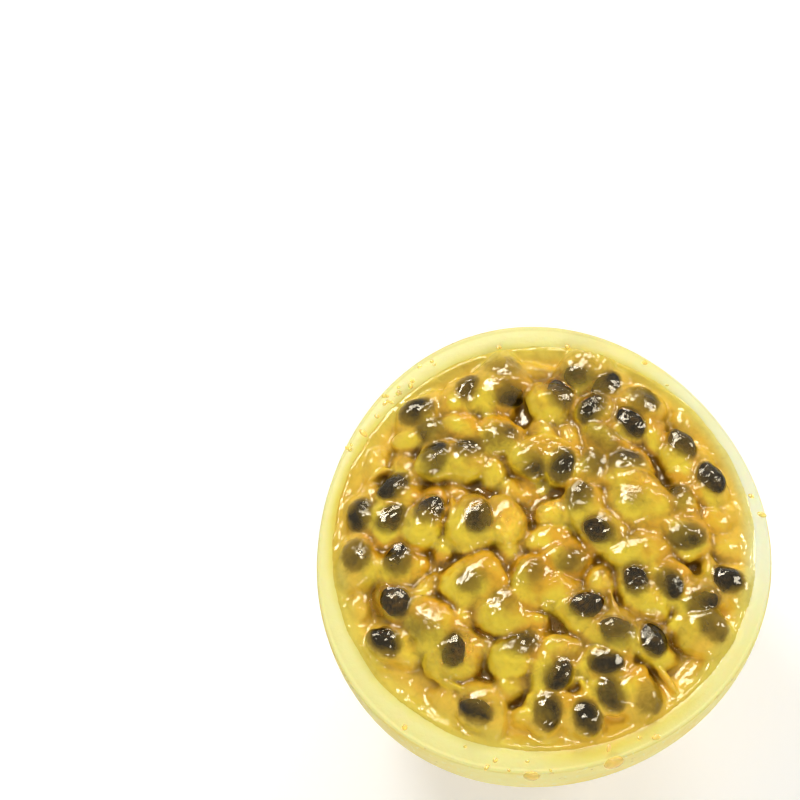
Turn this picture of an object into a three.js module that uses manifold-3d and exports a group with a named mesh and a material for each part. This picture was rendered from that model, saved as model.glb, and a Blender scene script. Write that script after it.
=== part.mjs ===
// Half of a yellow passion fruit, cut across the middle and set down on its skin with the cut face up.
// A thin rind cup, open at the cut, holds the pulp, and the seeds sit in open sockets in the pulp's top.
// Millimetres, +Z up. The origin is the centre of the small flat spot that the half rests on.
import * as THREE from "three";
import { mergeVertices } from "three/addons/utils/BufferGeometryUtils.js";
import Module from "manifold-3d";

const wasm = await Module();
wasm.setup();

// Driving dimensions.
const CUT_RADIUS = 36.3; // mean outside radius at the cut face
const DEPTH = 43.5; // from the rest spot up to the cut face
const REST_RADIUS = 6.5; // the small flat spot at the blossom end
const HOLLOW_RADIUS = 32.5; // mean radius of the hollow at the cut face, which leaves 3 to 5 mm of rind
const FLOOR_WALL = 5; // rind thickness at the blossom end
const EDGE_ROUND = 0.5; // radius that the knife leaves on both edges of the cut rind
const SEED = { length: 5.4, width: 3.8, thickness: 2.4 };
const GAP = 0.3; // clearance between pieces that touch

// The cut face is a little oval, with three faint lobes, one for each carpel. The hollow is rounder.
const OVAL = 0.025; // share by which the face is longer along Y and shorter along X
const LOBE = 0.022; // height of a lobe, as a share of the radius
const LOBE_TURN = THREE.MathUtils.degToRad(104); // direction of one lobe's crest
const HOLLOW_LOBING = 0.35; // the hollow's share of the oval and the lobes

// The pulp stands a little proud of the cut in the middle, and lies lower beside the rind.
const HEAP_MIDDLE = 1.4;
const HEAP_EDGE = -1.2;
const SEED_LIFT = 1.1; // a seed's centre above the pulp's level surface
const SINK = 1.3; // how far a deep seed lies below that
const SOCKET_DEPTH = 2.2; // from a seed's centre down to the bottom of its socket
const SAC = { length: 9.4, width: 7.8, height: 6.2, drop: 2.5 }; // juice sac round each seed

const ROUND = 56; // steps round the fruit
const RIND_ROWS = 10; // steps up the rind
const SEED_STEPS = { round: 8, along: 6 };
const TOP_RINGS = 14; // rings across the pulp's top

// Each visible seed: across (X), up the face (Y), heading of its long axis in degrees, and how deep it lies,
// from 0 for a seed at the surface to 1 for one well down in its sac.
const SEEDS = [
  [-20, 21.8, 30, 0], [-17.3, 18.4, 5, 1], [-17, 13.6, 60, 0], [-11.6, 15, 20, 0.5],
  [-11.8, 25.2, 65, 0], [-6.7, 28.8, 10, 0.5], [-5.5, 24.7, 10, 0.5], [-6.8, 16.8, 20, 0.5],
  [2.5, 24.5, 100, 0], [5.8, 28.7, 50, 0.5], [9.8, 26.4, 45, 0.5], [7.7, 21.8, 60, 0],
  [13.7, 19.7, 125, 0], [3, 12, 80, 0], [-1.8, 12.9, 140, 1], [9.6, 16.8, 145, 1],
  [12.8, 12.8, 170, 0.5], [7.6, 12.1, 72, 0.5], [5.7, 6.3, 80, 0], [15.6, 24, 140, 0.5],
  [21.8, 16.2, 115, 0], [26.3, 10.7, 115, 0], [14, 6.3, 150, 0.5], [20.8, 6.4, 80, 1],
  [22.2, 0.3, 5, 0], [28.4, -6.2, 150, 0], [14.4, -6.8, 100, 0], [19.4, -7.3, 120, 0],
  [24.2, -10, 20, 0.5], [25.8, -13.9, 115, 0], [16.8, -16.2, 105, 0], [11.2, -15, 160, 0],
  [15.8, -25.2, 110, 0.5], [10.4, -24.8, 110, 0], [6.6, -28.4, 105, 0], [2.2, -22, 70, 0],
  [0.6, -27.7, 80, 0], [-10.3, -27.4, 150, 0], [-3.6, -17.2, 30, 0.5], [-14, -18, 90, 0],
  [-18.2, -14, 150, 1], [-24.4, -16.4, 145, 0], [-22.8, -10, 130, 0], [-29, -2.8, 95, 0],
  [-22.6, -3.2, 80, 0.5], [-10.8, -7.3, 20, 0], [-6, -10.9, 140, 1], [-17.8, 4.5, 60, 0],
  [-10.2, 3, 75, 0], [-23.6, 3.5, 50, 0], [-23.5, 8.9, 35, 0], [-28.5, 4.4, 80, 0.5],
  [8.7, 1.2, 150, 0], [3.9, -3.6, 20, 1], [-2, -6.4, 60, 0.5], [6.6, -11, 20, 0],
  [9.6, -20.1, 170, 0], [13.6, -1.2, 160, 1],
];

// Outside radius at the cut face in a direction, as a share of the mean.
function lobing(angle) {
  return 1 - OVAL * Math.cos(2 * angle) + LOBE * Math.cos(3 * (angle - LOBE_TURN));
}

// How far the lobes put the middle of the cut face's box off the axis.
function middle(axis) {
  const reach = Array.from({ length: 720 }, (_, i) => {
    const angle = (Math.PI * i) / 360;
    return CUT_RADIUS * lobing(angle) * (axis === "x" ? Math.cos(angle) : Math.sin(angle));
  });
  return (Math.max(...reach) + Math.min(...reach)) / 2;
}
const MIDDLE = { x: middle("x"), y: middle("y") };

// A body turned about +Z from [radius, height] points, then made oval and lobed. Both fade to nothing towards
// the rest spot, where the fruit is round, and the cut face is set square over that spot.
function turned(points, strength) {
  const profile = points.map(([r, z]) => new THREE.Vector2(r, z));
  const geometry = new THREE.LatheGeometry(profile, ROUND);
  geometry.rotateX(Math.PI / 2);
  const place = geometry.attributes.position;
  for (let i = 0; i < place.count; i++) {
    const fade = strength * THREE.MathUtils.smoothstep(place.getZ(i), 0, DEPTH * 0.8);
    const share = 1 + fade * (lobing(Math.atan2(place.getY(i), place.getX(i))) - 1);
    place.setXY(i, place.getX(i) * share - fade * MIDDLE.x, place.getY(i) * share - fade * MIDDLE.y);
  }
  return geometry;
}

// [radius, height] points up an ellipse about the middle of the cut face, from the height `low` to the cut.
function ellipseRows(radius, semiHeight, low, top = DEPTH) {
  const start = Math.asin(Math.min(1, (DEPTH - low) / semiHeight));
  const end = Math.asin((DEPTH - top) / semiHeight);
  return Array.from({ length: RIND_ROWS + 1 }, (_, i) => {
    const a = start + ((end - start) * i) / RIND_ROWS;
    return [radius * Math.cos(a), DEPTH - semiHeight * Math.sin(a)];
  });
}

// The dome would come to this depth if the rest spot didn't flatten its tip.
const FULL_DEPTH = DEPTH / Math.sqrt(1 - (REST_RADIUS / CUT_RADIUS) ** 2);
const HOLLOW_DEPTH = FULL_DEPTH - FLOOR_WALL;

function domeGeometry() {
  const rows = ellipseRows(CUT_RADIUS, FULL_DEPTH, 0, DEPTH - EDGE_ROUND);
  return turned([[0, 0], ...rows, [CUT_RADIUS - EDGE_ROUND, DEPTH], [0, DEPTH]], 1);
}

// What is taken out of the dome, from the bottom of the hollow to well above the cut.
function hollowGeometry() {
  const rows = ellipseRows(HOLLOW_RADIUS, HOLLOW_DEPTH, DEPTH - HOLLOW_DEPTH, DEPTH - EDGE_ROUND);
  rows[0][0] = 0;
  const flare = HOLLOW_RADIUS + 2 * EDGE_ROUND;
  return turned([...rows, [flare, DEPTH + EDGE_ROUND], [0, DEPTH + EDGE_ROUND]], HOLLOW_LOBING);
}

function rindGeometry() {
  return geometryOf(solid(domeGeometry()).subtract(solid(hollowGeometry())));
}

// Height of the pulp's level surface above the cut face.
function heap(x, y) {
  const share = Math.min(1, Math.hypot(x, y) / HOLLOW_RADIUS);
  return HEAP_MIDDLE + (HEAP_EDGE - HEAP_MIDDLE) * share ** 2;
}

// Height of the pulp's top above the cut face: the highest of the juice sacs that cover (x, y), or the
// level surface where there is none.
function pulpTop(x, y) {
  const heights = SEEDS.map(([sx, sy, heading]) => {
    const turn = THREE.MathUtils.degToRad(heading);
    const along = (x - sx) * Math.cos(turn) + (y - sy) * Math.sin(turn);
    const across = (y - sy) * Math.cos(turn) - (x - sx) * Math.sin(turn);
    const out = (2 * along / SAC.length) ** 2 + (2 * across / SAC.width) ** 2;
    return out < 1 ? heap(sx, sy) - SAC.drop + (SAC.height / 2) * Math.sqrt(1 - out) : -Infinity;
  });
  return Math.max(heap(x, y), ...heights);
}

// The pulp before its sockets are cut: it fills the rind's hollow with clearance all round.
function filledPulpGeometry() {
  const radius = HOLLOW_RADIUS - GAP;
  const rows = ellipseRows(radius, HOLLOW_DEPTH - GAP, DEPTH - HOLLOW_DEPTH + GAP, DEPTH + HEAP_EDGE);
  rows[0][0] = 0;
  const rings = Array.from({ length: TOP_RINGS }, (_, i) => [radius * (1 - (i + 1) / TOP_RINGS), DEPTH + 1]);
  const geometry = turned([...rows, ...rings], HOLLOW_LOBING);
  const place = geometry.attributes.position;
  for (let i = 0; i < place.count; i++) {
    if (place.getZ(i) > DEPTH + 0.5) {
      place.setZ(i, DEPTH + pulpTop(place.getX(i), place.getY(i)));
    }
  }
  return geometry;
}

// Where a seed lies, and how it is turned.
function seedPlace([x, y, heading, depth], index) {
  const tip = 0.22 * Math.sin(2.4 * index);
  const roll = 0.3 * Math.cos(1.7 * index);
  const turn = new THREE.Euler(roll, tip, THREE.MathUtils.degToRad(heading), "ZYX");
  return {
    position: new THREE.Vector3(x, y, DEPTH + heap(x, y) + SEED_LIFT - SINK * depth),
    quaternion: new THREE.Quaternion().setFromEuler(turn),
  };
}

// A seed drawn at the origin: an egg with its point towards +X, flattened in Z.
function seedGeometry() {
  const profile = [];
  for (let i = 0; i <= SEED_STEPS.along; i++) {
    const a = (Math.PI * i) / SEED_STEPS.along;
    const slim = 1 + 0.14 * Math.cos(a); // fuller towards one end
    profile.push(new THREE.Vector2(i % SEED_STEPS.along ? Math.sin(a) * slim : 0, -Math.cos(a)));
  }
  const geometry = new THREE.LatheGeometry(profile, SEED_STEPS.round);
  geometry.rotateZ(-Math.PI / 2);
  return geometry.scale(SEED.length / 2, SEED.width / 2, SEED.thickness / 2);
}

// A closed three.js geometry, carried to its place, as a solid for joining and cutting.
function solid(geometry, matrix = new THREE.Matrix4()) {
  const plain = geometry.clone().applyMatrix4(matrix);
  plain.deleteAttribute("normal");
  plain.deleteAttribute("uv");
  const merged = mergeVertices(plain, 1e-3);
  const mesh = new wasm.Mesh({
    numProp: 3,
    vertProperties: merged.attributes.position.array,
    triVerts: new Uint32Array(merged.index.array),
  });
  return new wasm.Manifold(mesh);
}

function geometryOf(manifold) {
  const mesh = manifold.getMesh();
  return new THREE.BufferGeometry()
    .setAttribute("position", new THREE.BufferAttribute(mesh.vertProperties, 3))
    .setIndex(new THREE.BufferAttribute(mesh.triVerts, 1));
}

// The room that a seed needs: a straight way down into the pulp, a little larger than the seed all round.
function socketSolid(row, index) {
  const { position } = seedPlace(row, index);
  const room = new THREE.Shape();
  room.absellipse(0, 0, SEED.length / 2 + GAP, SEED.width / 2 + GAP, 0, 2 * Math.PI);
  const options = { depth: SOCKET_DEPTH + 12, bevelEnabled: false, curveSegments: SEED_STEPS.round / 2 };
  const matrix = new THREE.Matrix4().makeRotationZ(THREE.MathUtils.degToRad(row[2]));
  matrix.setPosition(position.x, position.y, position.z - SOCKET_DEPTH);
  return solid(new THREE.ExtrudeGeometry(room, options), matrix);
}

function pulpGeometry() {
  let pulp = solid(filledPulpGeometry());
  SEEDS.forEach((row, i) => {
    pulp = pulp.subtract(socketSolid(row, i));
  });
  return geometryOf(pulp);
}

const rindMaterial = new THREE.MeshStandardMaterial({ color: 0xf2df5a, roughness: 0.45, metalness: 0 });
const pulpMaterial = new THREE.MeshStandardMaterial({ color: 0xe8a020, roughness: 0.12, metalness: 0 });
const seedMaterial = new THREE.MeshStandardMaterial({ color: 0x2a220f, roughness: 0.25, metalness: 0 });

function named(name, geometry, material) {
  const mesh = new THREE.Mesh(geometry, material);
  mesh.name = name;
  return mesh;
}

const half = new THREE.Group();
half.name = "passion_fruit_half";
half.add(named("rind", rindGeometry(), rindMaterial));
half.add(named("pulp", pulpGeometry(), pulpMaterial));
SEEDS.forEach((row, i) => {
  const seed = named(`seed_${String(i + 1).padStart(2, "0")}`, seedGeometry(), seedMaterial);
  const { position, quaternion } = seedPlace(row, i);
  seed.position.copy(position);
  seed.quaternion.copy(quaternion);
  half.add(seed);
});

export default half;
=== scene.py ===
"""Half of a yellow passion fruit, lying on its skin with the cut face up."""

import math
import random

import bpy
import numpy as np
from mathutils import Matrix, Vector, noise
from mathutils.bvhtree import BVHTree


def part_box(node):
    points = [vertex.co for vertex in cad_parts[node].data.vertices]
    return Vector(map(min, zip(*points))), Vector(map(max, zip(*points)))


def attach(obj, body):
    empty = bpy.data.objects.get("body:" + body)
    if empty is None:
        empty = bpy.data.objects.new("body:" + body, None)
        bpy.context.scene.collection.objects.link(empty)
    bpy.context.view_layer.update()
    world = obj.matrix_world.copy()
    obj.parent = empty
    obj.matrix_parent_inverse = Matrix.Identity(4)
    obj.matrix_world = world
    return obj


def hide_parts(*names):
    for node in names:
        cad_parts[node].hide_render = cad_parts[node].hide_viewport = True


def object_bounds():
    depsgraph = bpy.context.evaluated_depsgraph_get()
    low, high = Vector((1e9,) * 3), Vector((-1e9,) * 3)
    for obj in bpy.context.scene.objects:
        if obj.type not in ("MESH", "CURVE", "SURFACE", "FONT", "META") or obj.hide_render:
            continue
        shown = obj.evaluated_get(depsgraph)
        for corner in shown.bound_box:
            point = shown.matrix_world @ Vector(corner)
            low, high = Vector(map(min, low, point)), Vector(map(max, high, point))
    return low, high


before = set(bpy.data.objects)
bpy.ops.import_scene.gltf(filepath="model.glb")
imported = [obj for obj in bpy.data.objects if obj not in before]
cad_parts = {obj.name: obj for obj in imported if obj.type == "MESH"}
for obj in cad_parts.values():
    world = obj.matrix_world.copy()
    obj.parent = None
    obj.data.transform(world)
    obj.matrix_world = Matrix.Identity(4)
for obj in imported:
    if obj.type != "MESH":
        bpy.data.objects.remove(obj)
cad_box = [list(corner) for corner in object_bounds()]
mm = 0.001  # in the frame's metres
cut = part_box("rind")[1].z  # height of the cut face

# The camera looks down on the cut face from 20 degrees off its normal. Its lens is long, so the far side of
# the rim comes out nearly as large as the near side, and the half lies low and to the right in the frame.

LENS, SENSOR = 150, 36
VIEW_WIDE = 125.2 * mm  # how much the frame takes in, at the middle of the cut face
FACE_AT = (0.1794, -0.18)  # where that middle comes, in frame widths from the frame's middle
ELEVATION = math.radians(70)

camera = bpy.data.objects.new("camera", bpy.data.cameras.new("camera"))
bpy.context.scene.collection.objects.link(camera)
bpy.context.scene.camera = camera
camera.data.lens, camera.data.sensor_width = LENS, SENSOR
back = Vector((0, -math.cos(ELEVATION), math.sin(ELEVATION)))
camera.location = Vector((0, 0, cut)) + back * VIEW_WIDE * LENS / SENSOR
camera.data.clip_start, camera.data.clip_end = 0.02, 20
straight = (-back).to_track_quat("-Z", "Y")
aside = Vector((*FACE_AT, -LENS / SENSOR)).normalized().rotation_difference(Vector((0, 0, -1)))
camera.rotation_mode = "QUATERNION"
camera.rotation_quaternion = straight @ aside

# A white room: a floor that keeps the half's shadow, and an even white sky. One soft lamp stands high at the
# left, weaker ones light the right, far and near sides, and two windows show only in the wet surfaces.

FLOOR_SIZE = 8
FLOOR_DROP = 0.05 * mm  # keeps the floor clear of the flat spot


def colour(red, green, blue, alpha=1):
    """A screen colour, from 0 to 255, as the linear values that shaders take."""
    shares = [value / 255 for value in (red, green, blue)]
    return (*[s / 12.92 if s < 0.04045 else ((s + 0.055) / 1.055) ** 2.4 for s in shares], alpha)


class Wire:
    """An output of a node. Sums on it add their Math nodes."""

    def __init__(self, paint, socket):
        self.paint, self.socket = paint, socket

    def __add__(self, other):
        return self.paint.sum("ADD", self, other)

    def __sub__(self, other):
        return self.paint.sum("SUBTRACT", self, other)

    def __rsub__(self, other):
        return self.paint.sum("SUBTRACT", other, self)

    def __mul__(self, other):
        return self.paint.sum("MULTIPLY", self, other)

    def __truediv__(self, other):
        return self.paint.sum("DIVIDE", self, other)

    def __pow__(self, other):
        return self.paint.sum("POWER", self, other)

    def between(self, low, high):
        """0 below low, 1 above high, and smooth between."""
        inputs = {"Value": self, 1: low, 2: high}
        return self.paint.node("ShaderNodeMapRange", inputs, interpolation_type="SMOOTHSTEP")[0]


class Paint:
    """The nodes of one material, or of the sky."""

    def __init__(self, name, owner=None):
        self.owner = owner or bpy.data.materials.new(name)
        self.owner.use_nodes = True
        self.tree = self.owner.node_tree
        self.tree.nodes.clear()

    def node(self, kind, inputs=None, **settings):
        """Adds a node, joins or sets its inputs by name or number, and gives its outputs."""
        made = self.tree.nodes.new(kind)
        for name, value in settings.items():
            setattr(made, name, value)
        sockets = [socket for socket in made.inputs if socket.enabled]
        for name, value in (inputs or {}).items():
            socket = sockets[name] if isinstance(name, int) else next(s for s in sockets if s.name == name)
            if isinstance(value, Wire):
                self.tree.links.new(value.socket, socket)
            else:
                socket.default_value = value
        return [Wire(self, socket) for socket in made.outputs if socket.enabled]

    def sum(self, operation, *terms):
        return self.node("ShaderNodeMath", dict(enumerate(terms)), operation=operation)[0]

    def blend(self, share, first, second):
        """From the first colour to the second, by share."""
        inputs = {"Factor": share, "A": first, "B": second}
        return self.node("ShaderNodeMix", inputs, data_type="RGBA", clamp_factor=True)[0]

    def noise(self, place, size, detail=2, roughness=0.5, distortion=0):
        """Soft noise from 0 to 1 whose lumps are about `size` across."""
        inputs = {"Scale": 1 / size, "Detail": detail, "Roughness": roughness, "Distortion": distortion}
        return self.node("ShaderNodeTexNoise", {"Vector": place, **inputs})[0]

    def place(self):
        """Where a point is on the object, in metres."""
        return self.node("ShaderNodeTexCoord")[3]

    def parts(self, place):
        """How far a place is to the right, away and up."""
        return self.node("ShaderNodeSeparateXYZ", {0: place})

    def attribute(self, name):
        return self.node("ShaderNodeAttribute", attribute_name=name)[2]

    def bump(self, height, distance, strength=1, normal=None):
        inputs = {"Height": height, "Distance": distance, "Strength": strength}
        return self.node("ShaderNodeBump", inputs | ({"Normal": normal} if normal else {}))[0]

    def shaded(self, inputs):
        return self.node("ShaderNodeBsdfPrincipled", inputs)[0]

    def finish(self, surface, kind="ShaderNodeOutputMaterial", **others):
        """Joins the surface to the output, and gives the material or the sky."""
        self.node(kind, {"Surface": surface, **others})
        return self.owner


def seen(paint):
    """1 for the rays that see a background: from the camera, or by gloss or glass."""
    kinds = ("Is Camera Ray", "Is Glossy Ray", "Is Transmission Ray")
    direct, by_gloss, through_glass = [w for w in paint.node("ShaderNodeLightPath") if w.socket.name in kinds]
    return paint.sum("MAXIMUM", paint.sum("MAXIMUM", direct, by_gloss), through_glass)


def settle(obj):
    """Puts the object's place into its mesh."""
    obj.data.transform(obj.matrix_world)
    obj.matrix_world = Matrix.Identity(4)


sky = Paint("sky", bpy.data.worlds.new("sky"))
bpy.context.scene.world = sky.owner
light_in_room = sky.node("ShaderNodeBackground", {"Color": (1, 1, 1, 1), "Strength": 0.22})[0]
white_behind = sky.node("ShaderNodeBackground", {"Color": (1, 1, 1, 1), "Strength": 1})[0]
all_round = sky.node("ShaderNodeMixShader", {0: seen(sky), 1: light_in_room, 2: white_behind})[0]
sky.finish(all_round, "ShaderNodeOutputWorld")

bpy.ops.mesh.primitive_plane_add(size=FLOOR_SIZE, location=(0, 0, -FLOOR_DROP))
floor = bpy.context.object
floor.name = "floor"
settle(floor)
paper = Paint("white paper")
matt = paper.node("ShaderNodeBsdfDiffuse", {"Color": colour(242, 242, 242)})[0]
glow = paper.node("ShaderNodeEmission", {"Color": (1, 1, 1, 1), "Strength": 0.32})[0]
glowing = paper.node("ShaderNodeAddShader", {0: matt, 1: glow})[0]
surface = paper.node("ShaderNodeMixShader", {0: seen(paper), 1: matt, 2: glowing})[0]
floor.data.materials.append(paper.finish(surface))


def lamp(name, azimuth, elevation, distance, width, length, watts, only_gloss=False):
    """An oblong soft lamp that faces the half. Its azimuth runs from the far side to the right. One that is
    only for gloss is seen in the wet surfaces and lights nothing."""
    data = bpy.data.lights.new(name, "AREA")
    data.shape, data.size, data.size_y, data.energy = "RECTANGLE", width, length, watts
    made = bpy.data.objects.new(name, data)
    bpy.context.scene.collection.objects.link(made)
    turn, rise = math.radians(azimuth), math.radians(elevation)
    way = Vector((math.sin(turn) * math.cos(rise), math.cos(turn) * math.cos(rise), math.sin(rise)))
    made.location = way * distance
    made.visible_diffuse = not only_gloss
    made.rotation_mode = "QUATERNION"
    made.rotation_quaternion = way.to_track_quat("Z", "Y")


lamp("key lamp", -35, 55, 1.6, 0.46, 0.34, 9.5)
lamp("right lamp", 70, 42, 1.6, 0.12, 0.56, 4)
lamp("far lamp", 12, 28, 1.7, 0.8, 0.14, 8)
lamp("near lamp", 170, 28, 1.6, 0.6, 0.18, 9)
lamp("window", -20, 50, 1.7, 0.86, 0.58, 32, only_gloss=True)
lamp("side window", 62, 36, 1.7, 0.24, 0.76, 13, only_gloss=True)
bpy.context.scene.view_settings.view_transform = "Standard"


# Rind: the cup of thin skin and pale pith, one grown piece, cut straight across with a knife. Its wall is a
# little thicker at the far side than at the flanks, and thickest at the blossom end that it rests on.

OUTER = 36.3 * mm  # mean outside radius at the cut
HOLLOW = 32.5 * mm  # mean radius of the hollow at the cut
REST = 6.5 * mm  # radius of the flat spot
FLOOR_WALL = 5 * mm  # wall at the blossom end
DIMPLE = [(0, 0.5), (0.8, 0.45), (1.6, 0.3), (2.3, 0.05), (3.2, 0)]  # mm out and up, at the scar
KNIFE_EDGE = 0.45 * mm  # round that the knife leaves on the outer edge
INSIDE_EDGE = HOLLOW + 0.5 * mm  # where the cut rounds off into the hollow
OVAL, LOBE = 0.025, 0.022  # shares of the radius
LOBE_TURN = math.radians(104)  # direction of one lobe's crest
HOLLOW_LOBING = 0.35  # the hollow's share of the oval and the lobes
LOBED_ABOVE = 0.8  # share of the height over which the lobes grow in
AROUND = 180  # steps round the fruit
SKIN_ROWS, CUT_ROWS, HOLLOW_ROWS = 34, 16, 22  # steps up the skin, across the cut and down the hollow


def lobing(angle):
    """The outside radius in a direction, as a share of the mean: a little oval, with three lobes."""
    return 1 - OVAL * np.cos(2 * angle) + LOBE * np.cos(3 * (angle - LOBE_TURN))


turns = np.linspace(0, 2 * math.pi, 720, endpoint=False)
outline = OUTER * lobing(turns) * np.array([np.cos(turns), np.sin(turns)])
off_middle = (outline.max(axis=1) + outline.min(axis=1)) / 2  # of the lobed outline, off the axis


def points_of(obj):
    """The mesh's points, one to a row."""
    flat = np.empty(len(obj.data.vertices) * 3)
    obj.data.vertices.foreach_get("co", flat)
    return flat.reshape(-1, 3)


def set_points(obj, points):
    obj.data.vertices.foreach_set("co", points.ravel())
    obj.data.update()


def keep_values(obj, **values):
    """Keeps a value for each point, as attributes that the materials read."""
    for name, each in values.items():
        attribute = obj.data.attributes.new(name, "FLOAT", "POINT")
        attribute.data.foreach_set("value", each.astype(np.float32))


def lobed(points, strength):
    """Points of a round body moved out to the lobes, which fade away towards the rest spot."""
    share = np.clip(points[:, 2] / (cut * LOBED_ABOVE), 0, 1)
    fade = strength * share * share * (3 - 2 * share)
    swell = 1 + fade * (lobing(np.arctan2(points[:, 1], points[:, 0])) - 1)
    moved = points.copy()
    moved[:, :2] = points[:, :2] * swell[:, None] - fade[:, None] * off_middle
    return moved


def nothing_selected():
    if bpy.context.object and bpy.context.object.mode != "OBJECT":
        bpy.ops.object.mode_set(mode="OBJECT")
    bpy.ops.object.select_all(action="DESELECT")


def smooth(obj):
    for polygon in obj.data.polygons:
        polygon.use_smooth = True


full_depth = cut / math.sqrt(1 - (REST / OUTER) ** 2)
hollow_depth = full_depth - FLOOR_WALL


def wall_point(radius, depth, share):
    """A point on a dome's section, from its edge at the cut (0) down to its tip (1)."""
    angle = share * math.pi / 2
    return radius * math.cos(angle), cut - depth * math.sin(angle)


# The section runs from the dimple of the scar out over the flat spot, up the skin, round the knife's edge, in
# across the cut, which swells a little between its edges, and down the hollow.
profile = [(r * mm, z * mm) for r, z in DIMPLE]
profile += [(REST * 0.75, 0), (REST * 0.97, 0.02 * mm)]
flat_to = 1 - math.asin(REST / OUTER) / (math.pi / 2)
profile += [wall_point(OUTER, full_depth, flat_to * (1 - i / SKIN_ROWS)) for i in range(1, SKIN_ROWS - 1)]
for angle in [math.radians(90 - 15 * i) for i in range(7)]:
    profile.append((OUTER - KNIFE_EDGE * (1 - math.sin(angle)), cut - KNIFE_EDGE * (1 - math.cos(angle))))
for share in [i / CUT_ROWS for i in range(1, CUT_ROWS)]:
    swell = 0.16 * mm * math.sin(math.pi * share) - 0.1 * mm
    profile.append(((OUTER - KNIFE_EDGE) * (1 - share) + INSIDE_EDGE * share, cut + swell))
profile.append((HOLLOW + 0.2 * mm, cut - 0.2 * mm))
profile += [wall_point(HOLLOW, hollow_depth, 0.02 + 0.98 * i / HOLLOW_ROWS) for i in range(HOLLOW_ROWS + 1)]


def spun(name, section):
    """A round body from its half section, a list of radius and height from the bottom of its axis up."""
    nothing_selected()
    bpy.ops.mesh.primitive_plane_add(size=mm, location=(0, 0, 0))
    body = bpy.context.object
    body.name = name
    bpy.ops.object.mode_set(mode="EDIT")
    bpy.ops.mesh.select_mode(type="VERT")
    bpy.ops.mesh.select_all(action="SELECT")
    bpy.ops.mesh.merge(type="CENTER")
    bpy.ops.transform.translate(value=(section[0][0], 0, section[0][1]))
    for (r0, z0), (r1, z1) in zip(section, section[1:]):
        bpy.ops.mesh.extrude_region_move(TRANSFORM_OT_translate={"value": (r1 - r0, 0, z1 - z0)})
    bpy.ops.mesh.select_all(action="SELECT")
    bpy.ops.mesh.spin(steps=AROUND, angle=2 * math.pi, center=(0, 0, 0), axis=(0, 0, 1))
    bpy.ops.mesh.select_all(action="SELECT")
    bpy.ops.mesh.remove_doubles(threshold=1e-6)
    bpy.ops.mesh.normals_make_consistent(inside=False)
    bpy.ops.object.mode_set(mode="OBJECT")
    settle(body)
    return body


rind = spun("rind_cup", profile)

# The skin line, the pith and the hollow are told apart by how far each point is across the wall, which the
# section gives before the lobes move it: 0 on the skin, 1 at the hollow's edge, 2 at the hollow's bottom.
points = points_of(rind)
radius = np.hypot(points[:, 0], points[:, 1])
across = np.clip((OUTER - radius) / (OUTER - INSIDE_EDGE), 0, 1)
on_cut = (points[:, 2] > cut - 0.35 * mm) & (radius > HOLLOW + 0.1 * mm)
inside = (np.hypot(radius / HOLLOW, (cut - points[:, 2]) / hollow_depth) < 1.015) & ~on_cut
across = np.where(on_cut, across, np.where(inside, 1 + (cut - points[:, 2]) / hollow_depth, 0))
keep_values(rind, across=across)
on_cut_lobing = 1 - (1 - HOLLOW_LOBING) * across
set_points(rind, lobed(points, np.where(inside, HOLLOW_LOBING, np.where(on_cut, on_cut_lobing, 1))))
smooth(rind)


def pith_colour(paint, where, across):
    """Cut rind from the skin (0) to the hollow (1): cream, then yellow, and stained amber by the juice, which
    soaked in furthest at the left and near ends. The right side is painted palest and least stained, as
    painted light where light falls brightest on it."""
    right, away, _ = paint.parts(where)
    wet = paint.noise(where, 9 * mm, 3, 0.55)
    at_left = (away * 0.26 - right * 0.97).between(28 * mm, 36 * mm)
    at_near = (right * 0.36 - away * 0.93).between(28 * mm, 37 * mm)
    # painted light: the right side is painted paler and whiter, where light falls brightest
    lit_right = (right * 30 - 0.4 + (wet - 0.5) * 0.5).between(0, 0.6) * (away + 20 * mm).between(0, 20 * mm)
    stain = across - 0.33 + (wet - 0.5) * 0.4 + at_left * 0.45 + at_near * 0.62 - lit_right * 0.25
    stain = stain + (paint.noise(where, 1.2 * mm, 4, 0.6) - 0.5) * 0.12
    pale = paint.blend(lit_right, colour(252, 240, 156), colour(251, 249, 206))
    pith = paint.blend(stain.between(0.2, 0.9), pale, colour(243, 224, 92))
    return paint.blend(stain.between(0.6, 1.3), pith, colour(240, 194, 58))


peel = Paint("rind")
where = peel.place()
deep = peel.attribute("across")
fine = peel.noise(where, 1.2 * mm, 4, 0.6)
pith = pith_colour(peel, where, deep)
pith = peel.blend(deep.between(1.0, 1.08), pith, colour(225, 165, 40))
tone = peel.noise(where, 16 * mm, 3, 0.6)
x, y, z = peel.parts(where)
# The skin turns a deeper gold towards the bottom, and in random patches.
deeper_gold = (tone + (cut - z) * 14 - 0.3).between(0, 0.7)
skin = peel.blend(deeper_gold, colour(255, 241, 154), colour(252, 219, 104))
upright = peel.node("ShaderNodeMapping", {"Vector": where, "Scale": (1, 1, 0.55)})[0]
flecks = peel.noise(upright, 0.9 * mm, 2, 0.5, 0.4)
skin = peel.blend(flecks.between(0.6, 0.72) * 0.65, skin, colour(253, 247, 190))
dots = peel.node("ShaderNodeTexVoronoi", {"Vector": where, "Scale": 1 / (3.2 * mm), "Randomness": 1})[0]
skin = peel.blend((1 - dots.between(0.04, 0.09)) * 0.5, skin, colour(150, 105, 40))
rubbed = peel.noise(where, 7 * mm, 3, 0.6, 1.5).between(0.6, 0.68)
scuffs = rubbed * peel.noise(where, 0.7 * mm, 3, 0.6).between(0.45, 0.6)
skin = peel.blend(scuffs * 0.35, skin, colour(206, 166, 92))
from_tip = (x * x + y * y + z * z) ** 0.5
scar = 1 - (from_tip + tone * 0.8 * mm).between(1.6 * mm, 3.4 * mm)
skin = peel.blend(scar, skin, colour(118, 82, 38))
base = peel.blend(deep.between(0.03, 0.09), skin, pith)
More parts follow.
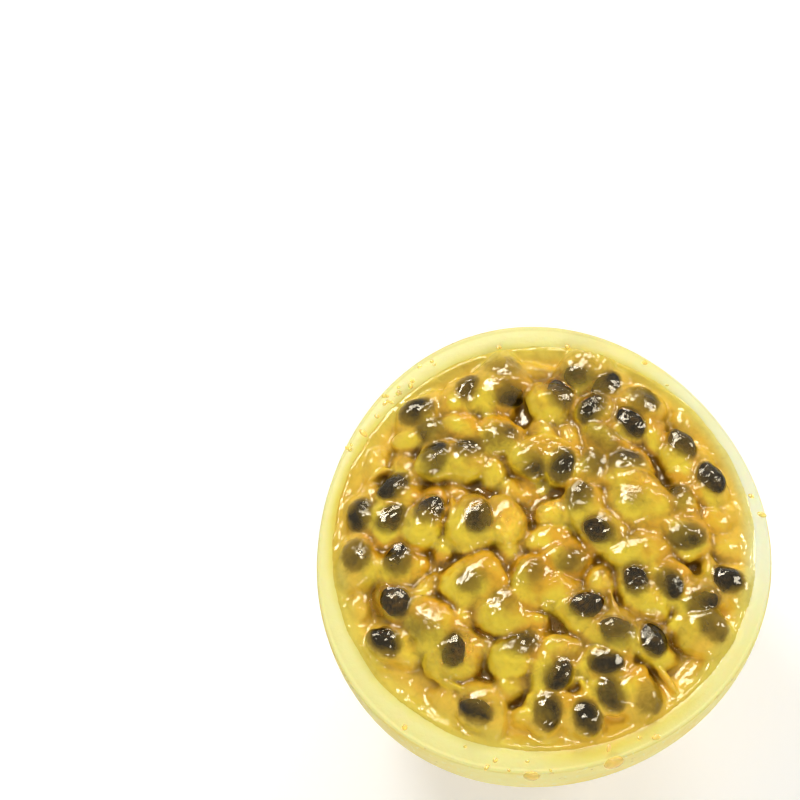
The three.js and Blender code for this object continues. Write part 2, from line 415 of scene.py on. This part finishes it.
dents = peel.noise(where, 5 * mm, 2, 0.4) * (1 - deep.between(0.02, 0.08))
relief = peel.bump(fine, 0.12 * mm, 0.6, peel.bump(dents, 0.9 * mm, 0.5))
surface = peel.shaded({
    "Base Color": base, "Roughness": 0.5 - deep.between(0.1, 0.9) * 0.12, "Normal": relief, "IOR": 1.42,
    "Subsurface Weight": 0.35, "Subsurface Radius": (1, 0.6, 0.22), "Subsurface Scale": 2.2 * mm,
    "Specular IOR Level": 0.25, "Coat Weight": deep.between(0.3, 0.95) * 0.2 + 0.03, "Coat Roughness": 0.12,
})
rind.data.materials.append(peel.finish(surface))
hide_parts("rind")
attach(rind, "root")

# Seeds: flat, egg-shaped and near black, with a pitted shell and a narrow end that pointed at the wall. Each
# one is loose in its own juice sac, where the frame's seeds lie.

seed_nodes = sorted(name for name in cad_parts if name.startswith("seed_"))
SEED_SIZE = Vector((5.5 * mm, 3.9 * mm, 2.4 * mm))  # long, wide and thick
PIT, PIT_DEPTH = 0.5, 0.14  # mm, of the pits in the shell


def lie_of(name):
    """How a seed lies: a matrix whose X runs to its narrow end, and whose Z is square to its flat side."""
    points = np.array([v.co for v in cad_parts[name].data.vertices])
    spread = points - points.mean(axis=0)
    _, axes = np.linalg.eigh(spread.T @ spread)
    long, flat = axes[:, 2], axes[:, 0]
    along = spread @ long
    wide = np.linalg.norm(spread - np.outer(along, long), axis=1)
    if wide[along > 0].sum() > wide[along < 0].sum():
        long = -long
    flat = flat if flat[2] > 0 else -flat
    turn = np.array([long, np.cross(flat, long), flat]).T
    local = points @ turn
    middle = turn @ ((local.max(axis=0) + local.min(axis=0)) / 2)
    return Matrix.Translation(middle) @ Matrix(turn.tolist()).to_4x4()


lies = [lie_of(name) for name in seed_nodes]

nothing_selected()
bpy.ops.mesh.primitive_uv_sphere_add(segments=36, ring_count=20, radius=0.5, location=(0, 0, 0))
pip = bpy.context.object
bpy.ops.transform.rotate(value=math.radians(90), orient_axis="Y", center_override=(0, 0, 0))
settle(pip)
points = points_of(pip)
along = points[:, 0] * 2
slim = 1 - 0.34 * np.clip(along, -0.2, 1) ** 2 + 0.06 * np.clip(-along, 0, 1)
points[:, 1] *= slim
points[:, 2] *= np.sqrt(slim)
points *= np.array(SEED_SIZE)
for i, point in enumerate(points):
    near_pit, next_pit, *_ = noise.voronoi(Vector(point) / (PIT * mm))[0]
    way = Vector(point).normalized()
    points[i] += np.array(way) * (min(0.35, next_pit - near_pit) - 0.3) * PIT_DEPTH * mm
set_points(pip, points)
smooth(pip)

shell = Paint("seed")
where = shell.place()
mottle = shell.noise(where, 0.7 * mm, 3, 0.6)
base = shell.blend(mottle.between(0.4, 0.75), colour(18, 13, 3), colour(80, 58, 12))
surface = shell.shaded({
    "Base Color": base, "Roughness": 0.45, "Normal": shell.bump(mottle, 0.08 * mm, 0.5), "IOR": 1.45,
    "Specular IOR Level": 0.1,
})
pip.data.materials.append(shell.finish(surface))

for name, lie in zip(seed_nodes, lies):
    seed = pip.copy()
    seed.data = pip.data.copy()
    seed.name = name + "_in_sac"
    bpy.context.scene.collection.objects.link(seed)
    seed.data.transform(lie)
    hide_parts(name)
    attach(seed, "root")
bpy.data.objects.remove(pip)

# Pulp: soft juice sacs packed together, each drawn tight round its seed, with loose juice between them and up
# against the rind. The cut opened the fruit, so the sacs heap a little above it. The cloudy flesh of the sacs
# and the clear juice and skins over it are two pieces.

sow = random.Random(11)
noise.seed_set(2)
HEAP = 1.4  # mm that the middle of the pulp stands over the cut
HEAP_FALL = 2.6  # mm that it falls from there to the rind
SEED_LIFT = 1.1 * mm  # of a surface seed's middle, over the pulp's level
SAC_SIZE = Vector((10.2, 8.2, 7)) * mm
SAC_SHARPER = 0.16  # share by which a sac is slimmer at its far end
FLESH_LESS = Vector((2.4, 2.2, 2.4)) * mm  # by which a sac's cloudy flesh is smaller than the sac
FILM = 0.6 * mm  # skin and juice over a seed, drawn tight
CROWDED = 22 * mm  # sacs further out than this are pushed in by the rind
BIG_DEEP = 7.6  # mm from top to bottom of the largest sacs
BIG = {  # the largest sacs, by their seed's number: shift across and away, length and width
    7: (-1.6, 0.6, 13.5, 8.6), 9: (-1.2, -1.2, 10.5, 8.4), 13: (-0.8, 0.4, 10.5, 9.4),
    15: (-0.4, 1.6, 10.5, 8), 23: (0.8, 0, 13.5, 9), 33: (-0.2, 0.6, 9.6, 7.6),
    36: (-0.8, 1.2, 11, 8.6), 40: (0.6, 0.6, 11.6, 10.4), 46: (0.2, 0.4, 11.6, 10.6),
    48: (-0.6, -0.4, 11, 8.2), 49: (-0.6, -0.4, 11, 8),
}

nothing_selected()
bpy.ops.mesh.primitive_ico_sphere_add(subdivisions=3, radius=0.5, location=(0, 0, 0))
sac = bpy.context.object
points = points_of(sac)
points[:, 1:] *= (1 - SAC_SHARPER * points[:, :1] * 2)
set_points(sac, points)


def level(x, y):
    """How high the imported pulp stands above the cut."""
    share = min(1, math.hypot(x, y) / HOLLOW)
    return (HEAP - HEAP_FALL * share**2) * mm


def sac_lie(middle, turn, size):
    return Matrix.Translation(middle) @ turn.to_4x4() @ Matrix.Diagonal((*size, 1))


# Each seed has a sac that lies along it and a little to one side, and a tight film of its own. Out by the
# rind the sacs are pushed back in, most of all at the near end.
skins, fleshes = [], []  # middle, turn and full size of each sac's skin, and of the cloudy flesh in it
for number, lie in enumerate(lies, 1):
    middle = lie.translation
    sunk = level(middle.x, middle.y) + cut + SEED_LIFT - middle.z  # 0 for a seed at the surface
    grown = sow.uniform(0.88, 1.12)
    heading = lie.to_3x3() @ Vector((1, 0, 0))
    turn = Matrix.Rotation(math.atan2(heading.y, heading.x) + sow.uniform(-0.3, 0.3), 3, "Z")
    side = turn @ Vector((sow.uniform(-1.2, 1.2), sow.uniform(-0.9, 0.9), 0)) * mm
    out = math.hypot(middle.x, middle.y)
    push = 0.12 if middle.y > -15 * mm else 0.25
    side -= Vector((middle.x, middle.y, 0)) / out * max(0, out - CROWDED) * push
    size = SAC_SIZE * grown
    top = middle.z + SEED_SIZE.z / 2 + sow.uniform(0.3, 1.4) * mm + sunk * 1.1
    if number in BIG:
        right, away, length, width = BIG[number]
        side, size = Vector((right, away, 0)) * mm, Vector((length, width, BIG_DEEP)) * mm
        top += 0.3 * mm
    skins.append((Vector((middle.x, middle.y, top - size.z / 2)) + side, turn, size))
    skins.append((middle, lie.to_3x3(), SEED_SIZE + 2 * FILM * Vector((1, 1, 1))))
    size = size - FLESH_LESS
    top = middle.z + sow.uniform(-0.8, 0.3) * mm
    fleshes.append((Vector((middle.x, middle.y, top - size.z / 2)) + side * 1.2, turn, size))


def add_sac(x, y, top, turn, size):
    """A sac that shows no seed: its skin, and the flesh 1 mm inside."""
    middle = Vector((x, y, top - size.z / 2))
    skins.append((middle, turn, size))
    fleshes.append((middle, turn, size - Vector((2, 2, 2)) * mm))


# Sacs between the seeds: across, away, heading, length, width, and how far their top is above the level. Each
# is made a tenth longer and wider, so that it runs into its neighbours.
for x, y, heading, length, width, rise in [
    (-5.8, 3.2, 80, 9.5, 6.5, 2.6), (1.8, 4.5, 60, 7, 5, 2.0), (16, 2.6, 170, 11, 6.5, 2.2),
    (2.5, -8.3, 20, 7.5, 5.5, 2.4), (17.5, -3.2, 30, 8, 5.5, 1.8), (25.5, -4.5, 100, 7, 5, 1.9),
    (13.6, 9.6, 165, 9.5, 5, 3.0), (-12.4, 18.9, 160, 7.5, 5, 2.6), (-12.5, 12.2, 10, 7, 5, 2.0),
    (-3, -12, 150, 7, 5, 1.8), (-20, 17.8, 20, 7.5, 5.5, 1.6), (13.4, -23.4, 20, 7.5, 5.8, 2.4),
    (3.2, -17.6, 20, 8, 4.6, 2.4), (-3.2, -27.8, 175, 4.4, 3.4, 2.0), (-4.6, -23.2, 10, 6.5, 5, 1.6),
    (17, 18.4, 120, 7, 5, 1.6), (0.2, 17.4, 160, 8, 5.5, 1.8), (21.8, 11.4, 120, 6, 4.5, 1.8),
    (-15.2, -25.4, 160, 8, 4.5, 0.8), (-28.3, -9.4, 80, 7, 4.6, 0.6), (24.8, -20, 45, 8, 4.6, 0.6),
    (20.8, -12.4, 30, 6.5, 4.6, 1.2), (-26.6, 13.8, 50, 7, 4.6, 0.9), (22, 21.2, 140, 7, 4.6, 0.8),
    (-0.6, 29.4, 0, 8, 4.6, 1.0), (-15.6, -0.6, 100, 6, 4.2, 1.0), (9, -7, 60, 6.5, 4.6, 1.4),
    (-17.8, -7.8, 60, 6.5, 5, 1.4), (-7.6, 21.4, 20, 7, 4.6, 1.4), (4.2, 17.6, 90, 6.6, 5, 1.8),
]:
    size = Vector((length * 1.1, width * 1.1, 6.4)) * mm
    top = cut + level(x * mm, y * mm) + (rise + 0.7) * mm
    add_sac(x * mm, y * mm, top, Matrix.Rotation(math.radians(heading), 3, "Z"), size)

# Smaller sacs fill the gaps, in rows that each lie half a sac along from the last.
FILL_ALONG, FILL_ROWS = 4.6, 4  # mm between them along a row, and between rows
FILL_TO, FILL_APART = 28, 3.9  # mm out, and mm off any other sac
for row in range(-7, 8):
    for column in range(-7, 8):
        x = FILL_ALONG * (column + 0.5 * (row % 2)) + sow.uniform(-0.8, 0.8)
        y = FILL_ROWS * row + sow.uniform(-0.8, 0.8)
        apart = min((entry[0].xy / mm - Vector((x, y))).length for entry in skins)
        if math.hypot(x, y) > FILL_TO or apart < FILL_APART:
            continue
        size = Vector((sow.uniform(7, 9.5), sow.uniform(5.5, 7), 6)) * mm
        top = cut + level(x * mm, y * mm) + sow.uniform(1, 2.4) * mm
        add_sac(x * mm, y * mm, top, Matrix.Rotation(sow.uniform(0, math.pi), 3, "Z"), size)

# A row of little ones lies against the far side's rind.
for degrees in range(-10, 215, 11):
    angle = math.radians(degrees + sow.uniform(-4, 4))
    place = Vector((math.cos(angle), math.sin(angle))) * sow.uniform(28.6, 30.2) * mm
    if min((entry[0].xy - place).length for entry in skins) > 3 * mm:
        size = Vector((sow.uniform(5, 7), sow.uniform(4, 5), 5)) * mm
        top = cut + level(*place) + sow.uniform(1.0, 1.8) * mm
        add_sac(*place, top, Matrix.Rotation(angle + math.pi / 2 + sow.uniform(-0.5, 0.5), 3, "Z"), size)

# Where the skin between sacs was cut or torn, its edge stands up as a thin wet thread: where it starts, bends
# and ends, across and away, and how high it stands over the level.
THREADS = [
    ((-16.5, -21.6), (-14.5, -22.9), (-12.4, -23.6), 2.2), ((-15.6, -28.6), (-10, -30.6), (-4.2, -31.4), 0.9),
    ((6.6, 20.8), (10, 17.5), (15.2, 15.2), 2.6), ((-14.4, 6.8), (-13.8, 4.2), (-14.6, 1.6), 2.6),
    ((10.6, -8.8), (11, -12), (13.2, -14.4), 2.8), ((5.8, -22.6), (7.6, -25.8), (9.4, -29), 2.2),
    ((17, -19.6), (19.4, -21.8), (20.4, -24), 1.8), ((-28, 10.6), (-25.4, 12.6), (-24.2, 12.4), 1.6),
    ((-26.4, -19.6), (-24.2, -22.6), (-22.4, -24.2), 1.0), ((26.2, 6.8), (27.4, 2.4), (26.6, -1.2), 1.0),
    ((-3.4, 15.6), (1, 18.2), (4.2, 15.4), 3.0), ((15.4, 9.2), (19, 7.4), (20.6, 5), 3.2),
    ((-4.2, -15.8), (-6, -17.6), (-5.2, -19.4), 2.2), ((-22.4, -11.6), (-20, -13), (-19.6, -15), 1.8),
    ((-17, 24.2), (-17.2, 21.6), (-16.6, 19.6), 1.4), ((1.6, -24.6), (3.2, -27.6), (2.2, -29.6), 1.4),
]
THREAD_LUMPS = 14
LUMP = 5.5 * mm  # size of the lumps that push a sac out of round
PUSHED = np.array([1.6, 1.6, 0.6])  # mm across, away and up


def whole_sac(entry):
    """Whether a skin is that of a whole sac, and not a seed's film or a thread."""
    return entry[2].x > SEED_SIZE.x * 1.3


def packed(name, sacs, section, voxel, rounds, ripple):
    """Sacs and the bed that they lie in, a round body with the given half section, in one skin. It is drawn
    tight by rounds of smoothing, and made a little uneven by the ripple."""
    bed = spun(name, section)
    nothing_selected()
    for entry in sacs:
        copy = sac.copy()
        copy.data = sac.data.copy()
        bpy.context.scene.collection.objects.link(copy)
        copy.data.transform(sac_lie(*entry))
        if whole_sac(entry):
            points = points_of(copy)
            push = [noise.noise_vector(Vector(point) / LUMP) for point in points]
            set_points(copy, points + np.array(push) * PUSHED * mm)
        copy.select_set(True)
    bed.select_set(True)
    bpy.context.view_layer.objects.active = bed
    bpy.ops.object.join()
    grain = bpy.data.textures.new(name, "CLOUDS")
    grain.noise_scale, grain.noise_depth = 2.2 * mm, 3
    modifier = bed.modifiers.new("one skin", "REMESH")
    modifier.mode, modifier.voxel_size = "VOXEL", voxel
    modifier = bed.modifiers.new("drawn tight", "SMOOTH")
    modifier.factor, modifier.iterations = 0.5, rounds
    modifier = bed.modifiers.new("uneven", "DISPLACE")
    modifier.texture, modifier.texture_coords = grain, "LOCAL"
    modifier.strength, modifier.mid_level = ripple, 0.5
    for modifier in list(bed.modifiers):
        bpy.ops.object.modifier_apply(modifier=modifier.name)
    return bed


def lighten(bed, depth):
    """Fewer faces below a depth under the cut, where none of them shows."""
    low = np.array([polygon.center.z < cut - depth for polygon in bed.data.polygons])
    bed.data.polygons.foreach_set("select", low)
    bpy.ops.object.mode_set(mode="EDIT")
    bpy.ops.mesh.select_mode(type="FACE")
    bpy.ops.mesh.decimate(ratio=0.05)
    bpy.ops.object.mode_set(mode="OBJECT")
    smooth(bed)


CLEAR = 0.1 * mm  # keeps the pulp off the hollow
hollow_wall = [wall_point(HOLLOW - CLEAR, hollow_depth - CLEAR, 1 - i / 24) for i in range(24)]
bottom = [(0, hollow_wall[0][1])] + hollow_wall[1:-1]
flesh_top = [(HOLLOW - CLEAR, -2.2), (HOLLOW * 0.8, -2.4), (HOLLOW * 0.4, -1.2), (0, -0.8)]  # mm over the cut
flesh_section = bottom + [(r, cut + z * mm) for r, z in flesh_top]
flesh_bed = packed("pulp_flesh", fleshes, flesh_section, voxel=0.4 * mm, rounds=3, ripple=0.4 * mm)
points = points_of(flesh_bed)
out = np.hypot(points[:, 0], points[:, 1])
points[:, :2] *= np.minimum(1, (HOLLOW - CLEAR / 2) / np.maximum(out, 1e-9))[:, None]
set_points(flesh_bed, lobed(points, HOLLOW_LOBING))
lighten(flesh_bed, 5.5 * mm)

for start, middle, end, rise in THREADS:
    for share in [i / THREAD_LUMPS for i in range(THREAD_LUMPS + 1)]:
        x, y = [(1 - share) ** 2 * p + 2 * share * (1 - share) * q + share**2 * r
                for p, q, r in zip(start, middle, end)]
        place = Vector((x * mm, y * mm, cut + level(x * mm, y * mm) + (rise - 1.1) * mm))
        thick = (0.5 + 0.8 * math.sin(math.pi * share)) * mm
        skins.append((place, Matrix.Identity(3), Vector((thick, thick, 2.4 * mm))))

LAMP_WAY = np.array([0.45, 0.75])  # level direction from which the light shines through the sacs
FALL = 4  # how fast a sac's hold on the points round it falls off


def by_sac(points, sacs):
    """For each point, the tone of the sac it is on, from 0 to 1, and how far round it is on the side that the
    lamp shines through to, from -1 to 1. Both change softly from one sac to the next."""
    tone, through, total = (np.full(len(points), 1e-9) for _ in range(3))
    for middle, turn, size in sacs:
        near = np.flatnonzero(np.hypot(*(points[:, :2] - np.array(middle)[:2]).T) < size.x)
        local = (points[near] - np.array(middle)) @ np.array(turn) / (np.array(size) / 2)
        weight = np.exp(-FALL * (local * local).sum(axis=1))
        side = ((points[near, :2] - np.array(middle)[:2]) @ LAMP_WAY) / (np.mean(size[:2]) / 2)
        tone[near] += weight * sow.random()
        through[near] -= weight * side
        total[near] += weight
    return tone / total, np.clip(through / total, -1, 1)


points = points_of(flesh_bed)
tint, lit_through = by_sac(points, fleshes)
keep_values(flesh_bed, tint=tint, lit_through=lit_through)

flesh = Paint("pulp flesh")
where = flesh.place()
tint, through = flesh.attribute("tint"), flesh.attribute("lit_through")
up = flesh.parts(where)[2]
cloud = flesh.noise(where, 3 * mm, 3, 0.6)
threads = flesh.noise(where, 0.8 * mm, 4, 0.65, 0.5)
base = flesh.blend(tint, colour(246, 206, 74), colour(248, 218, 104))
# Painted light: the side of each sac that the lamp shines through to is painted a brighter yellow.
base = flesh.blend((through * 0.6 + cloud - 0.4).between(0, 0.6), base, colour(255, 236, 124))
base = flesh.blend((threads + cloud - 1).between(0, 0.4) * 0.6, base, colour(230, 180, 56))
# Painted shade: the flesh is painted darker the deeper it lies under the cut.
deep = ((cut - 0.4 * mm - up) / (2.2 * mm)).between(0, 1)
base = flesh.blend(deep * 0.75, base, colour(196, 152, 44))
surface = flesh.shaded({
    "Base Color": base, "Roughness": 0.5, "IOR": 1.33, "Normal": flesh.bump(threads, 0.2 * mm, 0.6),
    "Subsurface Weight": 0.4, "Subsurface Radius": (1, 0.55, 0.15), "Subsurface Scale": 0.8 * mm,
})
flesh_bed.data.materials.append(flesh.finish(surface))
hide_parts("pulp")
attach(flesh_bed, "root")

# The juice lies level between the outer sacs and the rind, creeps up the rind, and ends on the rim as a thin
# wet film with an uneven edge. Its section runs up the hollow and in over the rim to the middle.

CREEP = 3.4 * mm  # how far in from the rind the juice starts to climb
FILM_START = 0.2 * mm  # how far past the hollow's edge the film begins to thin out
JUICE_LEVEL, CLIMB = -1.1, 1.22  # mm over the cut beside the rind, and mm that the juice climbs from there
TOP_AT = cad_box[1][2] + 0.2 * mm  # where the tallest sacs are pressed flatter
TOP_GIVE = 0.8 * mm  # and how much higher they can still come
VISIBLE = 4 * mm  # no more than this far under the cut can be seen
UNDER = 0.35 * mm  # the flesh stays this far under the juice
SHOWS_TO = 0.4 * mm  # a seed no deeper than this shows fully
HIDES = 1.6 * mm  # juice that hides nearly two thirds of a seed

wall = [point for point in hollow_wall if cut - 8 * mm < point[1] < cut - 1.6 * mm]
juice_top = [
    (HOLLOW + 2.4 * mm, -1.5), (HOLLOW + 2.4 * mm, -0.4), (HOLLOW + 0.2 * mm, 0.1), (HOLLOW - 0.8 * mm, -0.5),
    (HOLLOW - 1.8 * mm, -0.9), (HOLLOW - CREEP, -1.1), (HOLLOW * 0.75, -0.1), (HOLLOW * 0.4, 1.1), (0, 1.4),
]  # mm over the cut
juice_section = [(0, wall[0][1])] + wall + [(r, cut + z * mm) for r, z in juice_top]
juice = packed("pulp_juice", skins, juice_section, voxel=0.34 * mm, rounds=4, ripple=0.6 * mm)

points = points_of(juice)
out = np.hypot(points[:, 0], points[:, 1])
ways = points / np.maximum(out, 1e-9)[:, None]
wide_waves = np.array([noise.noise(Vector((x * 5, y * 5, 0.3))) for x, y, _ in ways])
short_waves = np.array([noise.noise(Vector((x * 9, y * 9, 4))) for x, y, _ in ways])
film_width = (0.5 + 0.4 * np.clip(wide_waves + 0.4 * short_waves, -0.7, 1)) * mm
climb = np.clip((out - (HOLLOW - CREEP)) / (CREEP + FILM_START), 0, 1)
past = np.clip((out - HOLLOW - FILM_START) / film_width, 0, 3)
film = cut + (JUICE_LEVEL + CLIMB * climb**2.2) * mm - 0.16 * mm * past**1.5

# Where a sac stands up out of the film, the film rises to it in a soft fillet.
upper = (points[:, 2] > cut - 1.35 * mm) & (out > HOLLOW - CREEP)
fillet = 0.3 * mm * np.clip((HOLLOW + 0.5 * mm - out) / (1.4 * mm), 0.03, 1)
over = np.clip((points[:, 2] - film) / fillet, -30, 30)
over = np.where(out < HOLLOW + 0.8 * mm, over, -30)
points[:, 2] = np.where(upper, film + fillet * np.log1p(np.exp(over)), points[:, 2])
too_high = points[:, 2] - TOP_AT
points[:, 2] -= np.where(too_high > 0, too_high - TOP_GIVE * (1 - np.exp(-too_high / TOP_GIVE)), 0)
set_points(juice, lobed(points, HOLLOW_LOBING))
lighten(juice, 6 * mm)

mesh = juice.data
skin_over = BVHTree.FromPolygons([v.co for v in mesh.vertices], [p.vertices for p in mesh.polygons])
points = points_of(flesh_bed)
for point in points:
    if point[2] > cut - VISIBLE:
        above = skin_over.ray_cast(Vector((point[0], point[1], cut + 5 * mm)), Vector((0, 0, -1)))[0]
        point[2] = min(point[2], above.z - UNDER) if above else point[2]
set_points(flesh_bed, points)

# How clearly a dark seed shows through the juice at each point: a cone of rays goes down into the pulp, and
# each that meets a seed, taken as an ellipsoid, counts by how little juice it came through.
points = points_of(juice)
normals = np.empty(len(points) * 3)
juice.data.vertices.foreach_get("normal", normals)
normals = normals.reshape(-1, 3)
top = points[:, 2] > cut - VISIBLE
way = -0.35 * normals - 0.65 * np.array([0, 0, 1])  # the middle of the cone, more down than inwards
shown = np.zeros(len(points))
veils = random.Random(3)
half = np.array(SEED_SIZE) / 2
round_about = [(0, 0)] + [(math.cos(a), math.sin(a)) for a in np.linspace(0, 2 * math.pi, 8, endpoint=False)]
rays = [(share * x, share * y) for share in (0.25, 0.7) for x, y in round_about]
for lie in lies:
    middle = np.array(lie.translation)
    near = np.flatnonzero(top & (np.hypot(*(points[:, :2] - middle[:2]).T) < 5 * mm))
    turn = np.array(lie.to_3x3())
    bare = veils.choice((0.65, 0.9, 1, 1))  # how much of a seed the cloudy flesh lets show
    start = (points[near] - middle) @ turn / half
    for slant in rays:
        ray = (way[near] + np.array([*slant, 0])) @ turn / half
        along = (ray * ray).sum(axis=1)
        towards = (ray * start).sum(axis=1)
        outside = (start * start).sum(axis=1) - 1
        root = towards * towards - along * outside
        depth = np.where(root > 0, (-towards - np.sqrt(np.maximum(root, 0))) / along, np.inf)
        depth = np.where(outside < 0, 0, np.where(depth < 0, np.inf, depth))
        shown[near] += bare * np.exp(-np.clip(depth - SHOWS_TO, 0, None) / HIDES) / len(rays)

tint, lit_through = by_sac(points, [entry for entry in skins if whole_sac(entry)])

# How deep each point lies in a crease, in mm, against the mean height of what is round it, which a grid of
# heights gives once it is blurred.
CELL = 0.5 * mm
REACH = 40 * mm  # from the middle to the grid's edge
place = (points[:, :2] + REACH) / CELL - 0.5
near = np.round(place[top]).astype(int)
heights = np.full((int(2 * REACH / CELL),) * 2, cut - 1 * mm)
np.maximum.at(heights, (near[:, 0], near[:, 1]), points[top, 2])
blur = np.exp(-np.linspace(-2, 2, 15) ** 2)
blur /= blur.sum()
for axis in (0, 1):
    heights = np.apply_along_axis(lambda row: np.convolve(row, blur, "same"), axis, heights)
low = np.floor(place).astype(int)
part = place - low
round_it = sum(heights[low[:, 0] + i, low[:, 1] + j] * abs(1 - i - part[:, 0]) * abs(1 - j - part[:, 1])
               for i in (0, 1) for j in (0, 1))
crease = (round_it - points[:, 2]) / mm
ring = np.hypot(points[:, 0], points[:, 1]) / HOLLOW
keep_values(juice, shown=shown, tint=tint, lit_through=lit_through, crease=crease, ring=ring)

gel = Paint("pulp juice")
where = gel.place()
shown, tint = gel.attribute("shown"), gel.attribute("tint")
through, crease, ring = gel.attribute("lit_through"), gel.attribute("crease"), gel.attribute("ring")
cloud = gel.noise(where, 3.5 * mm, 2, 0.5, 0.4)
threads = gel.noise(where, 1.4 * mm, 2, 0.5, 0.9)
relief = gel.bump(gel.noise(where, 2.2 * mm, 1, 0.4, 0.8), 0.5 * mm, 0.35)
wrinkled = gel.noise(where, 6 * mm, 2, 0.5).between(0.48, 0.62) * (1 - ring.between(0.88, 0.95))
relief = gel.bump(gel.noise(where, 1.2 * mm, 2, 0.5, 1.2) * wrinkled, 0.25 * mm, 0.4, relief)
gloss = {"Normal": relief, "IOR": 1.4, "Specular Tint": colour(255, 243, 216), "Roughness": 0.02}
clear = gel.shaded({"Base Color": colour(255, 244, 200), "Transmission Weight": 1.0, **gloss})
base = gel.blend(tint, colour(248, 180, 32), colour(236, 190, 54))
# Painted light: the side of each sac that the lamp shines through to is painted a brighter yellow, less so in
# the creases.
base = gel.blend((through * 0.7 + cloud - 0.26 - crease * 0.3).between(0, 0.55), base, colour(255, 224, 62))
# Painted shade: the creases between the sacs are painted dark brown, and the threads' noise breaks up its
# edge.
base = gel.blend((crease + threads * 0.8 - 0.32).between(0, 1.2) * 0.92, base, colour(92, 60, 2))
base = gel.blend(ring.between(0.82, 0.93) * 0.9, base, colour(255, 208, 72))
base = gel.blend(ring.between(0.93, 0.995), base, pith_colour(gel, where, 2.2 - ring))
base = gel.blend((shown + threads * 0.3 - 0.1).between(0, 0.45) * 0.88, base, colour(136, 106, 14))
base = gel.blend((shown + threads * 0.25 - 0.11).between(0.34, 0.92), base, colour(30, 22, 3))
cloudy = gel.shaded({
    "Base Color": base, **gloss,
    "Subsurface Weight": 0.15, "Subsurface Radius": (1, 0.6, 0.15), "Subsurface Scale": 0.5 * mm,
})
banks = gel.noise(where, 11 * mm, 1, 0.4)
thick = 0.95 - shown * 0.5 + (cloud - 0.5) * 0.7 + (banks - 0.5) * 0.9 + (threads - 0.5) * 0.4
thick = thick + ring.between(0.88, 0.97) - tint.between(0.6, 0.85) * 0.3
surface = gel.node("ShaderNodeMixShader", {0: thick.between(0, 1) * 0.94, 1: clear, 2: cloudy})[0]
depths = gel.node("ShaderNodeVolumeAbsorption", {"Color": (0.97, 0.74, 0.15, 1), "Density": 170})[0]
juice.data.materials.append(gel.finish(surface, Volume=depths))
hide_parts("pulp")
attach(juice, "root")
bpy.data.objects.remove(sac)

# Drops: juice that splashed and ran from the cut. Two hang from the near edge of the rim, where the juice ran
# over; the rest are beads on the rim, most of them up to the left.

HANGING = Vector((1.3, 2.6, 2.6)) * mm  # size of a drop that hangs from the edge
rim_middle = -Vector((*off_middle, 0))
sow = random.Random(4)
beads = []
for degrees, scale in ((-92.1, 1), (-72, 1.25)):
    angle = math.radians(degrees)
    way = Vector((math.cos(angle), math.sin(angle), 0))
    edge = OUTER * float(lobing(angle)) * way + rim_middle + Vector((0, 0, cut - 0.9 * mm))
    beads.append((edge, Matrix.Rotation(angle, 3, "Z"), HANGING * scale))
for degrees, scatter, count in ((133, 14, 16), (-105, 40, 10), (60, 60, 8)):
    for _ in range(count):
        angle = math.radians(sow.gauss(degrees, scatter))
        share = sow.uniform(0.12, 0.75)
        reach = OUTER * float(lobing(angle)) * (1 - share) + (HOLLOW + 0.8 * mm) * share
        wide = sow.uniform(0.35, 0.9) * mm
        place = Vector((reach * math.cos(angle), reach * math.sin(angle), cut - 0.02 * mm)) + rim_middle
        turn = Matrix.Rotation(sow.uniform(0, math.pi), 3, "Z")
        beads.append((place, turn, Vector((wide * sow.uniform(1, 2), wide, wide * 0.5))))

nothing_selected()
balls = []
for entry in beads:
    bpy.ops.mesh.primitive_uv_sphere_add(segments=20, ring_count=12, radius=0.5, location=(0, 0, 0))
    balls.append(bpy.context.object)
    balls[-1].data.transform(sac_lie(*entry))
for ball in balls:
    ball.select_set(True)
bpy.ops.object.join()
drops = bpy.context.object
drops.name = "juice_drops"
smooth(drops)

bead = Paint("juice drop")
yellow = bead.blend(bead.noise(bead.place(), 4 * mm), colour(255, 236, 150), colour(250, 216, 112))
surface = bead.shaded({"Base Color": yellow, "Roughness": 0.03, "IOR": 1.33, "Transmission Weight": 0.5})
drops.data.materials.append(bead.finish(surface))
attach(drops, "root")
